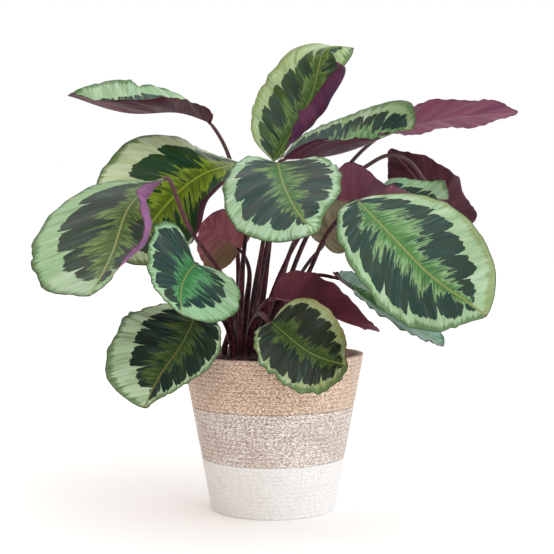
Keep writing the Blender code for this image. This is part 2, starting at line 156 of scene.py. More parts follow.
# The warmer side: direction, colour and start
WARM_SIDE = (-0.9, -0.42, -0.1)
WARM_TINT = (1.0, 0.72, 0.5, 1)
WARM_START = 0.1
# A soft lamp in front on the right, in metres and watts
KEY_PLACE = (1.1, -1.7, 1.4)
KEY_TARGET = (0, 0, 0.25)
KEY_SIZE = 1.0
KEY_ENERGY = 6
FLOOR_SIZE = 40
FLOOR_COLOUR = (0.93, 0.93, 0.93, 1)

# Camera: its place in metres, its dip in degrees, and its lens and sensor in millimetres
CAMERA_PLACE = (0.0045, -1.30, 0.296)
CAMERA_DIP = 1.55
CAMERA_LENS = 74.6
CAMERA_SENSOR = 36
CAMERA_NEAREST = 0.05

# Colours that all leaves share: the margin's thin rim and the dry tip above, the rim and the midrib below
RIM = (52, 72, 40)
DRY_TIP = (84, 62, 44)
UNDER_RIM = (70, 44, 44)
UNDER_RIB = (160, 110, 110)
# Stalks: two colours in patches, the upper part, and fibres
STALK_COLOURS = ((36, 16, 25), (80, 33, 45))
STALK_HIGH = (86, 66, 68)
STALK_FIBRES = (142, 82, 82)
# Ropes: two shades of strand, the painted shade in the hollows between strands and rows, and how far the hollows
# take it
WHITE_ROPE = ((222, 221, 219), (246, 246, 247), (184, 176, 168), 0.4)
MIXED_ROPE = ((152, 122, 102), (255, 252, 248), (98, 72, 58), 0.8)
TAN_ROPE = ((158, 124, 96), (249, 229, 210), (92, 62, 44), 0.8)
# Soil: dark, brown, and bits of bark
SOIL_COLOURS = ((20, 10, 14), (92, 60, 60))
SOIL_BARK = (140, 106, 100)
POT_COLOURS = ((20, 20, 21), (44, 42, 41))


@dataclass
class Leaf:
    """One leaf. Points are (right, back, up). Left and right are seen from the base to the tip, upper side up."""

    rib: list  # the midrib, from the blade's base to its tip
    face: list  # where the upper side looks, from the base to the tip
    widths: tuple  # of the left and right half
    fold: tuple  # angle each half is raised at the midrib, from the base to the tip
    foot: tuple  # where the stalk leaves the soil
    stalk: list  # points that the stalk passes on its way to the base
    curl: tuple = ([0], [0])  # how much further each half has turned at its margin
    belly: tuple = (0.1, 0.1)  # how much each half is wider towards the base than towards the tip
    lobe: tuple = (0.1, 0.1)  # how far each half reaches back beside the stalk
    wave: tuple = (2.5, 0)  # the margin's wave: its height, and where it starts as a share of one wave
    ruffle: tuple = (1, 1)  # how strong each half's notches and ruffles are


LEAVES = [
    # far back on the left, seen nearly edge-on
    Leaf(
        rib=[(-75, 86, 444), (-117, 88, 457), (-167, 74, 454), (-246, 96, 478)],
        face=[(0.4, 0, 0.9), (0.1, -0.3, 1), (0, -0.45, 0.9)], widths=(61, 62),
        fold=([15, 25, 30], [15, 25, 30]), lobe=(0.1, -0.1), wave=(3, -0.1), foot=(-57, 45),
        stalk=[(-42, 65, 232), (-44, 90, 303), (-53, 108, 401)],
    ),
    # upper left, behind the next one, its left half curled up
    Leaf(
        rib=[(-33, 59, 392), (-83, 42, 379), (-139, 50, 328), (-169, 20, 277)],
        face=[(0, -0.35, 1), (0.4, -0.65, 0.65), (0, -1, 0)], widths=(74, 90),
        fold=([5, -15, 0], [0, 5, 15]), curl=([40, 115, 120], [-25, 20]), belly=(0, 0.1), lobe=(0.1, 0),
        wave=(2.5, 0.25), foot=(-44, 25), stalk=[(-38, 32, 233), (-34, 42, 291), (-27, 52, 350)],
    ),
    # far left, its left half rolled towards the viewer
    Leaf(
        rib=[(-119, -54, 369), (-153, -58, 341), (-167, -84, 296), (-182, -160, 246)],
        face=[(-0.3, -0.6, 0.75), (-0.2, -0.9, 0.4), (-0.45, -0.75, 0.5)], widths=(67, 96),
        fold=([20, 0, 10], [-28, 0, 10]), curl=([95, 135, 105], [0]), belly=(0.3, 0.15), lobe=(0, -0.05),
        wave=(3, 0), foot=(-38, 1), stalk=[(-41, 0, 223), (-63, -4, 271), (-98, -33, 328)],
    ),
    # top centre, upright, its right half rolled over
    Leaf(
        rib=[(0, 38, 395), (29, 67, 442), (50, 66, 489), (62, 58, 527), (95, 59, 529)],
        face=[(-0.2, -0.95, 0.25), (0, -1, -0.1), (-0.45, -0.45, 0.75)], widths=(58, 68),
        fold=([30, -5, -30], [46, 35, -40]), curl=([0], [165, 195, 160, 85]), belly=(0.1, -0.15),
        lobe=(0, 0.05), wave=(3, 0.3), foot=(-27, 22), stalk=[(-20, 28, 233), (-8, 30, 291), (0, 30, 355)],
    ),
    # upper right, folded like a trough
    Leaf(
        rib=[(12, 78, 400), (69, 88, 405), (118, 98, 421), (152, 98, 435), (167, 75, 434)],
        face=[(0.5, 0, 0.8), (-0.1, -0.6, 0.8), (-0.4, -0.7, 0.6)], widths=(66, 90),
        fold=([24, 3, 24], [40, 38, 40]), belly=(0.1, 0.2), lobe=(-0.1, -0.35), wave=(-2, 0.15), foot=(-21, 34),
        stalk=[(-13, 48, 232), (-5, 62, 291), (0, 76, 350)],
    ),
    # far right at the top, seen from below
    Leaf(
        rib=[(140, 150, 440), (188, 152, 451), (228, 154, 458), (268, 158, 462), (310, 162, 465)],
        face=[(0, 0.3, 1), (0, 0.3, 1)], widths=(48, 50), fold=([5, 5], [5, 5]), belly=(-0.2, 0.3),
        lobe=(0, 0), wave=(2.5, -0.3), foot=(-13, 40),
        stalk=[(3, 50, 232), (21, 68, 291), (51, 93, 345), (85, 117, 386), (112, 134, 416)],
    ),
    # centre, facing the viewer
    Leaf(
        rib=[(6, 0, 390), (11, -51, 365), (33, -123, 322), (48, -131, 312)],
        face=[(0, -0.85, 0.5), (-0.55, -0.15, 0.8)], widths=(61, 68), fold=([10, 0], [10, 0]),
        curl=([10, -55], [-40, 25]), belly=(0.05, 0), lobe=(0, 0.2), wave=(-2.5, 0.1), foot=(-29, 8),
        stalk=[(-22, 10, 234), (-13, 10, 291), (-1, 6, 354)],
    ),
    # right of the centre, its near half folded up
    Leaf(
        rib=[(75, 63, 353), (115, 50, 345), (159, 39, 344), (199, 5, 349)],
        face=[(0, 0.35, 0.95), (0.55, -0.35, 0.75), (-0.3, -0.25, 0.95)], widths=(53, 59),
        fold=([15, 25, 35], [45, 35, 25]), belly=(0.05, 0.15), wave=(2, 0.5), foot=(-18, 12),
        stalk=[(-6, 18, 222), (16, 30, 280), (43, 46, 324)],
    ),
    # right, behind, its underside to the viewer
    Leaf(
        rib=[(229, 119, 317), (204, 128, 340), (176, 116, 379), (142, 112, 414)],
        face=[(-0.1, 0.95, -0.2), (0.6, 0.75, 0.3)], widths=(43, 41), ruffle=(1.2, 1.2),
        fold=([20, -15], [0, 5]), belly=(0.35, 0.1), lobe=(0.15, 0.1), wave=(3, 0.2), foot=(-6, 30),
        stalk=[
            (8, 42, 221), (27, 70, 277), (56, 86, 337), (85, 92, 374), (115, 98, 394),
            (139, 98, 406), (164, 98, 400), (183, 99, 377), (211, 102, 340),
        ],
    ),
    # the large one on the right, facing the viewer
    Leaf(
        rib=[(92, -41, 346), (133, -66, 301), (174, -60, 261), (208, -61, 237), (234, -45, 219)],
        face=[(0.35, -0.95, 0.05), (0.25, -0.95, 0.25), (0.15, -0.95, 0.2)], widths=(80, 64),
        ruffle=(0.4, 1.7), fold=([-15, 15], [20, -40]), lobe=(0, 0), wave=(3, 0.5), foot=(-8, 6),
        stalk=[(14, 4, 223), (40, 2, 265), (59, -4, 307), (78, -20, 332)],
    ),
    # under the large one, nearly edge-on
    Leaf(
        rib=[(73, 23, 260), (114, 9, 230), (149, -3, 210), (193, -5, 183)],
        face=[(-0.25, 0.1, 0.95), (-0.15, -0.25, 0.95)], widths=(48, 41), ruffle=(2, 2),
        fold=([20, 30], [15, 5]), wave=(1.5, 0.35), foot=(0, 18), stalk=[(20, 25, 228), (45, 30, 261)],
    ),
    # low, right of the centre, its near half folded up
    Leaf(
        rib=[(0, -46, 239), (41, -38, 229), (78, -48, 213), (116, -38, 202)],
        face=[(-0.4, 0.1, 0.9), (-0.25, 0, 0.95)], widths=(25, 44), fold=([40, 30, 10], [45, 60, -10]),
        lobe=(-0.1, 0.1), wave=(3, 0.25), foot=(-18, -6), stalk=[(-20, -14, 207)],
    ),
    # lowest in the middle, hanging over the rim
    Leaf(
        rib=[(-1, -94, 216), (36, -114, 187), (57, -129, 179), (75, -167, 178)],
        face=[(-0.15, -0.6, 0.8), (0.2, -1, 0)], widths=(46, 59), ruffle=(0.5, 2),
        fold=([40, 0], [30, 20]), belly=(0.35, 0.25), lobe=(0.05, 0), wave=(3, 0.25), foot=(-29, -9),
        stalk=[(-24, -26, 205), (-13, -60, 222)],
    ),
    # left of the centre, the right half's lobe standing up behind its base
    Leaf(
        rib=[(-84, -55, 277), (-95, -90, 257), (-93, -133, 226)],
        face=[(0.35, -0.4, 0.85), (0.35, -0.9, 0.2), (0.45, -0.85, 0.2)], widths=(66, 58),
        fold=([10, -10], [30, 25, 10]), belly=(0.1, 0.3), lobe=(0.05, 0.45), wave=(0.5, 0.2), foot=(-47, 9),
        stalk=[(-50, 0, 221), (-63, -28, 254)],
    ),
    # lower left, hanging beside the rim
    Leaf(
        rib=[(-80, -74, 227), (-98, -80, 189), (-119, -85, 159), (-134, -102, 126)],
        face=[(-0.3, -0.85, 0.5), (-0.3, -0.9, 0.2)], widths=(43, 80), fold=([8, 15], [-5, 0]),
        belly=(0.45, 0.1), lobe=(0, 0), wave=(2.5, 0.6), foot=(-45, -11),
        stalk=[(-50, -22, 205), (-62, -42, 224)],
    ),
    # small, behind the centre on the left, its underside to the viewer
    Leaf(
        rib=[(-40, 70, 291), (-61, 76, 306), (-88, 80, 320)], face=[(0, 1, 0.1)], widths=(36, 40),
        fold=([0], [0]), foot=(-34, 36), stalk=[(-31, 54, 232), (-29, 64, 270)],
    ),
    # small, behind the centre on the right, its underside to the viewer
    Leaf(
        rib=[(62, 112, 298), (82, 118, 326), (115, 122, 363)], face=[(0.1, 1, 0.1)], widths=(34, 30),
        fold=([0], [0]), foot=(0, 44), stalk=[(20, 70, 231), (40, 96, 272)],
    ),
]


def unit(vectors):
    return vectors / np.maximum(np.linalg.norm(vectors, axis=-1, keepdims=True), 1e-12)


def between(values, share):
    """Reads evenly spaced values, or directions, at a share from 0 to 1, easing from each to the next."""
    values = np.asarray(values, float)
    if len(values) == 1:
        values = np.concatenate([values, values])
    place = np.clip(share, 0, 1) * (len(values) - 1)
    lower = np.minimum(place.astype(int), len(values) - 2)
    ease = smooth_step(place - lower)
    if values.ndim > 1:
        ease = ease[..., None]
    return values[lower] * (1 - ease) + values[lower + 1] * ease


def steps_between(points):
    return np.linalg.norm(np.diff(points, axis=0), axis=1)


def running_sum(steps):
    return np.concatenate([[0], np.cumsum(steps)])


def read_along(line, walked, at):
    """Reads a line's points or directions at other distances than those walked to them."""
    return np.stack([np.interp(at, walked, line[:, axis]) for axis in range(3)], axis=-1)


def smooth_line(points, samples):
    """Points along a natural cubic spline through the given ones."""
    points = np.asarray(points, float)
    count = len(points)
    knots = running_sum(np.sqrt(steps_between(points)))
    steps = np.diff(knots)
    rises = np.diff(points, axis=0) / steps[:, None]
    system = np.eye(count)
    sides = np.zeros_like(points)
    for i in range(1, count - 1):
        system[i, i - 1 : i + 2] = steps[i - 1], 2 * (steps[i - 1] + steps[i]), steps[i]
        sides[i] = 6 * (rises[i] - rises[i - 1])
    bends = np.linalg.solve(system, sides)
    at = np.linspace(0, knots[-1], samples)
    piece = np.clip(np.searchsorted(knots, at, side="right") - 1, 0, count - 2)
    step = steps[piece][:, None]
    past = (at - knots[piece])[:, None]
    slope = rises[piece] - step * (2 * bends[piece] + bends[piece + 1]) / 6
    growth = (bends[piece + 1] - bends[piece]) / step
    return points[piece] + slope * past + bends[piece] * past**2 / 2 + growth * past**3 / 6


def vein(position, belly, lobe):
    """A side vein, from its position 0 at the base to 1 at the tip.

    Gives the margin's distance from the midrib as a share of the half width, and the places along the midrib that
    the vein's outer end lies beside and that it starts from, as shares of the length.
    """
    to_tip = smooth_step((position - (1 - TIP_SHARE)) / TIP_SHARE)
    arch = np.sin(np.pi * position) ** ARCH_POWER
    reach = arch * (1 + belly * np.cos(np.pi * position)) * (1 - TIP_NARROWING * to_tip)
    back = lobe * np.sin(2 * np.pi * np.minimum(position, 0.5)) * (1 - position) ** 2
    end = (0.5 - 0.5 * np.cos(np.pi * position) - back) * (1 - TIP_POINT) + TIP_POINT * to_tip
    start = position**VEIN_POWER
    return reach, end, start


def smooth_step(share):
    share = np.clip(share, 0, 1)
    return share * share * (3 - 2 * share)


@dataclass
class Look:
    """Colours and proportions of one leaf's two sides."""

    pale: tuple = (144, 174, 136)  # the band near the margin
    inner: tuple = (62, 118, 54)  # the feathers where they leave the midrib
    feather: tuple = (102, 152, 92)  # their ends, and strokes in the pale band
    dark: tuple = (24, 56, 48)  # the band between
    dark_streak: tuple = (38, 56, 42)
    painted_sheen: tuple = (66, 96, 90)  # painted sheen: light strokes in the dark band
    mottle_and_highlight: tuple = (186, 206, 182)  # light strokes in the pale band, partly the leaf's own mottling and partly painted highlight
    edge: tuple = (62, 98, 44)  # the margin
    left_edge: tuple = ()  # of the left half's margin, where it is yellower
    rib: tuple = (126, 138, 78)
    under: tuple = (88, 30, 44)
    under_streak: tuple = (64, 26, 42)
    under_painted_shade: tuple = ()  # painted shade, greenish as if lit through the leaf, on the right half's underside towards the base, where a leaf has it
    pale_width: tuple = (0.22, 0.22)  # of each half, as are the next two, in shares of the half width
    inner_width: float = 0.34
    edge_width: float = 0.05


# In the order of LEAVES
LOOKS = [
    Look(pale=(148, 180, 142), under=(92, 30, 46), under_streak=(64, 28, 46), pale_width=(0.33, 0.37)),
    Look(
        pale=(188, 204, 162), inner=(84, 108, 16), feather=(128, 152, 40), dark=(20, 58, 28),
        dark_streak=(36, 66, 28), rib=(138, 152, 46), under=(104, 34, 62), pale_width=(0.26, 0.32),
    ),
    Look(
        pale=(142, 176, 134), inner=(72, 98, 44), feather=(112, 138, 76), dark=(30, 50, 38),
        dark_streak=(42, 56, 36), rib=(138, 146, 92), under=(148, 102, 142), under_streak=(126, 82, 122),
        pale_width=(0.22, 0.3), inner_width=0.28,
    ),
    Look(
        pale=(158, 180, 130), inner=(72, 104, 44), feather=(106, 136, 76), dark=(34, 56, 42),
        dark_streak=(60, 84, 34), left_edge=(122, 138, 78), under=(88, 42, 66), under_streak=(70, 36, 64),
        pale_width=(0.28, 0.24), edge_width=0.08,
    ),
    Look(
        pale=(144, 174, 128), inner=(70, 124, 62), feather=(126, 168, 110), under=(90, 34, 54),
        under_streak=(76, 34, 60), pale_width=(0.17, 0.22), inner_width=0.5,
    ),
    Look(under=(126, 64, 88), under_streak=(110, 56, 82)),
    Look(
        pale=(154, 188, 154), inner=(66, 108, 52), feather=(112, 146, 88), dark_streak=(52, 62, 56),
        pale_width=(0.17, 0.24), inner_width=0.3,
    ),
    Look(pale=(146, 186, 146), under=(150, 90, 110), under_streak=(122, 70, 92), pale_width=(0.28, 0.28)),
    Look(under=(88, 46, 56), under_streak=(64, 34, 44)),
    Look(
        pale=(150, 182, 142), inner=(74, 120, 58), feather=(126, 162, 112), left_edge=(124, 140, 84),
        pale_width=(0.27, 0.21), inner_width=0.33, edge_width=0.08,
    ),
    Look(pale=(142, 184, 164), edge=(84, 122, 104), pale_width=(0.75, 0.75)),
    Look(under=(104, 52, 62), under_streak=(82, 42, 52)),
    Look(
        pale=(148, 162, 114), inner=(60, 84, 36), feather=(84, 108, 56), dark=(24, 40, 28),
        dark_streak=(38, 42, 28), left_edge=(136, 132, 82), pale_width=(0.22, 0.17), inner_width=0.3,
        edge_width=0.08,
    ),
    Look(
        pale=(146, 186, 144), inner=(46, 118, 60), feather=(96, 162, 106), dark=(20, 54, 50),
        pale_width=(0.34, 0.14),
    ),
    Look(
        pale=(172, 204, 162), inner=(50, 76, 34), feather=(76, 102, 50), dark=(14, 42, 34),
        dark_streak=(24, 46, 28), rib=(108, 110, 58), pale_width=(0.13, 0.31), inner_width=0.27,
    ),
    # its right half's underside has painted shade towards the base
    Look(under=(188, 120, 128), under_streak=(150, 90, 100), under_painted_shade=(124, 112, 76)),
    Look(under=(168, 156, 132), under_streak=(124, 126, 92)),
]


def screen(colour):
    """A colour's light, from its look on a screen."""
    share = np.asarray(colour, float) / 255
    light = np.where(share <= 0.04045, share / 12.92, ((share + 0.055) / 1.055) ** 2.4)
    return (*[float(channel) for channel in light], 1.0)


class Nodes:
    """A node tree and short ways to add nodes to it."""

    def __init__(self, tree):
        self.tree = tree

    def put(self, socket, value):
        if isinstance(value, bpy.types.NodeSocket):
            self.tree.links.new(value, socket)
        else:
            socket.default_value = value

    def add(self, kind, inputs=None, **settings):
        node = self.tree.nodes.new(kind)
        for name, value in settings.items():
            setattr(node, name, value)
        for name, value in (inputs or {}).items():
            self.put(node.inputs[name], value)
        return node

    def math(self, operation, *values, clamp=False):
        node = self.add("ShaderNodeMath", operation=operation, use_clamp=clamp)
        for socket, value in zip(node.inputs, values):
            self.put(socket, value)
        return node.outputs[0]

    def add_share(self, value, share, total):
        """The total, with this share of the value added."""
        return self.math("MULTIPLY_ADD", value, share, total)

    def combine(self, x, y, z=0.0):
        return self.add("ShaderNodeCombineXYZ", {"X": x, "Y": y, "Z": z}).outputs[0]

    def noise(self, vector, scale=1.0, detail=2.0, roughness=0.5):
        inputs = {"Vector": vector, "Scale": scale, "Detail": detail, "Roughness": roughness}
        return self.add("ShaderNodeTexNoise", inputs).outputs["Fac"]

    def step(self, value, low, high, start=0.0, end=1.0):
        """Eases from start to end while the value goes from low to high."""
        node = self.add("ShaderNodeMapRange", interpolation_type="SMOOTHSTEP")
        for socket, given in zip(node.inputs, (value, low, high, start, end)):
            self.put(socket, given)
        return node.outputs[0]

    def mix(self, share, first, second):
        """Mixes two colours, which are sockets or as they look on a screen."""
        node = self.add("ShaderNodeMix", data_type="RGBA")
        self.put(node.inputs[0], share)
        for socket, colour in ((node.inputs[6], first), (node.inputs[7], second)):
            self.put(socket, screen(colour) if isinstance(colour, tuple) else colour)
        return node.outputs[2]

    def bump(self, height, distance, strength):
        return self.add("ShaderNodeBump", {"Height": height, "Distance": distance, "Strength": strength}).outputs[0]

    def dot(self, vector, direction):
        node = self.add("ShaderNodeVectorMath", operation="DOT_PRODUCT")
        self.put(node.inputs[0], vector)
        self.put(node.inputs[1], direction)
        return node.outputs["Value"]


class Shader(Nodes):
    """A material's nodes."""

    def __init__(self, name):
        self.material = bpy.data.materials.new(name)
        self.material.use_nodes = True
        super().__init__(self.material.node_tree)

    def attribute(self, name):
        return self.add("ShaderNodeAttribute", attribute_name=name).outputs["Fac"]

    def where(self):
        return self.add("ShaderNodeTexCoord").outputs["Object"]

    def finish(self, **inputs):
        """Sets the surface's inputs, named with _ for a space, and gives the material."""
        surface = self.tree.nodes["Principled BSDF"]
        for name, value in inputs.items():
            self.put(surface.inputs[name.replace("_", " ")], value)
        return self.material


def along_veins(shader):
    """The blade's own coordinates, and the place along the midrib set apart for each half, for the strokes."""
    place = shader.attribute("place")
    across = shader.attribute("across")
    margin = shader.attribute("margin")
    right = shader.step(across, -0.001, 0.001)
    from_rib = shader.math("ABSOLUTE", across)
    shifted = shader.add_share(right, HALVES_APART, place)
    return place, from_rib, margin, right, shifted


def strokes(shader, shifted, out, number, fineness):
    """Noise drawn out along the side veins."""
    along, outward = fineness
    x = shader.math("MULTIPLY", shifted, along)
    y = shader.math("MULTIPLY", out, outward)
    return shader.noise(shader.combine(x, y, number * LEAVES_APART))


def upper_side(number, look):
    """Green: light feathers beside the midrib, a dark band, and a pale band with a green edge at the margin."""
    shader = Shader(f"leaf_{number:02d}_upper")
    place, from_rib, margin, right, shifted = along_veins(shader)
    half = shader.math("ADD", shader.math("ADD", from_rib, margin), 0.001)
    out = shader.math("DIVIDE", from_rib, half)
    fine = strokes(shader, shifted, from_rib, number, FINE)
    teeth = strokes(shader, shifted, from_rib, number + 5, TEETH)
    broad = strokes(shader, shifted, from_rib, number, BROAD)
    slow = strokes(shader, shifted, 0.0, number, SLOW)

    # dark band: pale spikes reach in along the main veins, and its border is finely serrated
    veins = shader.add_share(place, MAIN_VEINS, shader.math("MULTIPLY", right, RIGHT_VEIN_LAG))
    veins = shader.add_share(slow, 0.9, veins)
    arch = shader.math("ABSOLUTE", shader.math("SINE", shader.math("MULTIPLY", veins, math.pi)))
    spike = shader.step(arch, 0.0, 0.3, 0.09, 0.0)
    left_width, right_width = look.pale_width
    width = shader.add_share(right, right_width - left_width, left_width - 0.12)
    saw = shader.add_share(shader.math("FRACT", veins), -0.06, width)
    border = shader.math("ADD", spike, saw)
    border = shader.add_share(arch, -0.04, border)
    border = shader.add_share(slow, 0.14, border)
    border = shader.add_share(teeth, 0.14, border)
    dark = shader.step(shader.math("SUBTRACT", margin, border), -0.006, 0.008)

    # light feathers beside the midrib
    ends = shader.math("MULTIPLY", shader.step(place, 0.04, 0.34), shader.step(place, 0.7, 0.97, 1.0, 0.35))
    reach = shader.add_share(shader.step(fine, 0.35, 0.65), 0.22, look.inner_width - 0.32)
    reach = shader.add_share(shader.step(broad, 0.35, 0.65), 0.26, reach)
    reach = shader.add_share(shader.step(teeth, 0.35, 0.65), 0.12, reach)
    reach = shader.math("MULTIPLY", reach, ends)
    light = shader.step(shader.math("SUBTRACT", reach, out), -0.012, 0.02)
    tipward = shader.math("DIVIDE", out, shader.math("MAXIMUM", reach, 0.02), clamp=True)

    feather = shader.mix(shader.step(tipward, 0.25, 0.95), look.inner, look.feather)
    feather = shader.mix(shader.step(fine, 0.48, 0.66, 0.0, 0.55), feather, look.dark)
    band = shader.mix(shader.step(broad, 0.35, 0.65), look.dark, look.dark_streak)
    # painted sheen: light strokes along the veins in the dark band
    band = shader.mix(shader.step(teeth, 0.5, 0.75, 0.0, 0.5), band, look.painted_sheen)
    colour = shader.mix(light, band, feather)
    pale = shader.mix(shader.step(fine, 0.45, 0.75, 0.0, 0.55), look.pale, look.feather)
    # lighter blotches in the pale band: partly the leaf's own mottling, partly painted highlight
    pale = shader.mix(shader.step(broad, 0.45, 0.75, 0.0, 0.6), pale, look.mottle_and_highlight)
    pale = shader.mix(shader.step(teeth, 0.5, 0.8, 0.0, 0.5), pale, look.edge)
    colour = shader.mix(dark, pale, colour)

    # green margin, feathered inwards, and a thin dark rim
    margin_colour = look.edge
    if look.left_edge:
        margin_colour = shader.mix(right, look.left_edge, look.edge)
    edge = shader.add_share(fine, 0.16, look.edge_width - 0.08)
    edge = shader.add_share(slow, 0.16, shader.math("SUBTRACT", edge, 0.08))
    green = shader.step(shader.math("SUBTRACT", edge, margin), -0.03, 0.03, 0.0, 0.75)
    colour = shader.mix(green, colour, margin_colour)
    colour = shader.mix(shader.step(margin, 0.004, 0.018, 0.75, 0.0), colour, RIM)

    # midrib
    rib = shader.step(from_rib, 0.008, 0.02, 1.0, 0.0)
    colour = shader.mix(rib, colour, look.rib)
    colour = shader.mix(shader.step(place, 0.985, 0.997), colour, DRY_TIP)

    height = shader.add_share(fine, 0.7, shader.math("MULTIPLY", broad, 0.6))
    rough = shader.step(fine, 0.3, 0.7, 0.38, 0.5)
    return shader.finish(
        Base_Color=colour,
        Roughness=rough,
        Specular_IOR_Level=0.25,
        Normal=shader.bump(height, 0.8 * MM, 0.7),
    )


def under_side(number, look):
    """Maroon with streaks along the side veins, and a paler midrib."""
    shader = Shader(f"leaf_{number:02d}_under")
    place, from_rib, margin, right, shifted = along_veins(shader)
    fine = strokes(shader, shifted, from_rib, number, UNDER_FINE)
    broad = strokes(shader, shifted, from_rib, number, UNDER_BROAD)
    colour = shader.mix(shader.step(broad, 0.3, 0.7), look.under, look.under_streak)
    colour = shader.mix(shader.step(fine, 0.45, 0.75, 0.0, 0.35), colour, look.under_streak)
    colour = shader.mix(shader.step(margin, 0.004, 0.02, 0.7, 0.0), colour, UNDER_RIM)
    colour = shader.mix(shader.step(from_rib, 0.012, 0.03, 0.6, 0.0), colour, UNDER_RIB)
    # painted shade, greenish as if lit through the leaf, on the right half towards the base
    if look.under_painted_shade:
        low = shader.math("MULTIPLY", right, shader.step(place, 0.4, 0.8, 0.8, 0.0))
        colour = shader.mix(low, colour, look.under_painted_shade)
    height = shader.add_share(fine, 0.6, shader.math("MULTIPLY", broad, 0.6))
    return shader.finish(
        Base_Color=colour,
        Roughness=shader.step(fine, 0.3, 0.7, 0.45, 0.6),
        Specular_IOR_Level=0.12,
        Normal=shader.bump(height, 0.5 * MM, 0.6),
    )


def waver(position, seed, counts):
    """A sum of sines from -1 to 1 along the margin."""
    total = 0
    for step, count in enumerate(counts):
        total = total + np.sin(2 * np.pi * (count * position + seed * (0.37 + 0.21 * step))) / len(counts)
    return total


def blade_half(leaf, seed, side, position, outward):
    """Points in metres and surface values of one half.

    side is -1 or 1, and outward goes from 0 at the midrib to 1 at the margin.
    """
    which = 0 if side < 0 else 1
    rib = smooth_line(leaf.rib, RIB_SAMPLES)
    walked = running_sum(steps_between(rib))
    length = walked[-1]
    width = leaf.widths[which]
    reach, end, start = vein(position, leaf.belly[which], leaf.lobe[which])

    # where each point lies in the flat blade: across from the midrib and along it
    lobes = MAIN_VEINS * position + RIGHT_VEIN_LAG * which
    notches = NOTCH * waver(position, seed + side, NOTCH_COUNTS) - SCALLOP * np.cos(2 * np.pi * lobes)
    notches = notches * leaf.ruffle[which] * outward**3
    across = width * reach * outward * (1 + notches)
    along = length * (start + (end - start) * outward**VEIN_SWEEP)

    # the frame at the midrib: its point, forward, up and sideways
    foot = read_along(rib, walked, along)
    forward = unit(read_along(unit(np.gradient(rib, axis=0)), walked, along))
    foot = foot + forward * np.minimum(along, 0)[..., None]
    share = np.clip(along / length, 0, 1)
    looks = between(unit(np.asarray(leaf.face, float)), share)
    up = unit(looks - np.sum(looks * forward, axis=-1, keepdims=True) * forward)
    sideways = np.cross(forward, up) * side

    # from there outward, turning with the fold and the curl
    fold = np.radians(between(leaf.fold[which], share))
    curl = np.radians(between(leaf.curl[which], share))
    out = across / width
    points = foot
    for step in range(ACROSS_STEPS):
        middle = (step + 0.5) / ACROSS_STEPS * out
        angle = (fold + curl * middle**2)[..., None]
        points = points + (np.cos(angle) * sideways + np.sin(angle) * up) * (across / ACROSS_STEPS)[..., None]
    angle = (fold + curl * out**2)[..., None]
    normal = np.cos(angle) * up - np.sin(angle) * sideways

    # waves, vein grooves and ruffles lift the point along the normal
    height, lag = leaf.wave
    turns = WAVE_COUNT * position + lag + RIGHT_WAVE_LAG * which
    ends = np.sqrt(np.sin(np.pi * position))
    swing = height * outward**2 * ends * np.sin(2 * np.pi * turns)
    swing = swing - GROOVE_DEPTH * np.sin(np.pi * outward) * ends * np.cos(2 * np.pi * lobes)
    swing = swing + RUFFLE * leaf.ruffle[which] * outward**5 * ends * waver(position, seed - side, RUFFLE_COUNTS)
    points = (points + normal * swing[..., None]) * MM
    flat = np.broadcast_to(reach, across.shape)
    return points, np.broadcast_to(position, across.shape), side * flat * outward, flat * (1 - outward)


def blade_grid(leaf, seed):
    """The blade's middle surface with its surface values, its triangles, and its margin as a loop of points."""
    position = np.linspace(0, 1, BLADE_ROWS + 1)[:, None]
    outward = np.concatenate([[0], RIDGE_LINES, np.linspace(FIRST_COLUMN, 1, BLADE_COLUMNS)])[None, :]
    left = blade_half(leaf, seed, -1, position, outward)
    right = blade_half(leaf, seed, 1, position, outward)
    wide = 2 * outward.size - 1
    layers = []
    for one, other in zip(left, right):
        tail = one.shape[2:]
        rows = np.concatenate([one[1:-1, :0:-1], other[1:-1]], axis=1)
        layers.append(np.concatenate([one[:1, 0], rows.reshape(-1, *tail), one[-1:, 0]]))
    base, tip = 0, len(layers[0]) - 1

    def index(row, column):
        return 1 + row * wide + column

    faces = []
    last = BLADE_ROWS - 2
    for column in range(wide - 1):
        faces.append((base, index(0, column + 1), index(0, column)))
        faces.append((index(last, column), index(last, column + 1), tip))
        for row in range(last):
            a, b = index(row, column), index(row, column + 1)
            d, c = index(row + 1, column), index(row + 1, column + 1)
            faces += [(a, b, c), (a, c, d)]
    right_margin = [index(row, wide - 1) for row in range(last + 1)]
    left_margin = [index(row, 0) for row in range(last, -1, -1)]
    return layers, faces, [base, *right_margin, tip, *left_margin]


def point_normals(points, faces):
    """The mean direction of the triangles round each point."""
    corners = np.array(faces).T
    a, b, c = (points[corner] for corner in corners)
    turned_area = np.cross(b - a, c - a)
    normals = np.zeros_like(points)
    for corner in corners:
        np.add.at(normals, corner, turned_area)
    return unit(normals)


def build_blade(number, leaf, look):
    """The middle surface, thickened to both sides and closed along the margin, with the ridge under the midrib."""
    (points, place, across, margin), faces, loop = blade_grid(leaf, number)
    normals = point_normals(points, faces)
    ridge = RIDGE_HEIGHT * np.exp(-((across / RIDGE_WIDTH) ** 2)) * (1 - place) * np.minimum(place / RIDGE_START, 1)
    upper = points + normals * BLADE_THICKNESS / 2
    lower = points - normals * (BLADE_THICKNESS / 2 + ridge)[:, None]
    under = len(points)
    solid = faces + [(c + under, b + under, a + under) for a, b, c in faces]
    for a, b in zip(loop, loop[1:] + loop[:1]):
        solid += [(a, a + under, b + under), (a, b + under, b)]
    values = {"place": np.tile(place, 2), "across": np.tile(across, 2), "margin": np.tile(margin, 2)}
    materials = [upper_side(number, look), under_side(number, look)]
    made = add_piece(f"visual_leaf_{number:02d}_blade", np.concatenate([upper, lower]), solid, materials, values)
    sides = np.ones(len(solid), int)
    sides[: len(faces)] = 0
    made.data.polygons.foreach_set("material_index", sides)
    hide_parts(f"leaf_{number:02d}_blade")
    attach(made, "root")


def add_object(name, data):
    made = bpy.data.objects.new(name, data)
    bpy.context.scene.collection.objects.link(made)
    return made


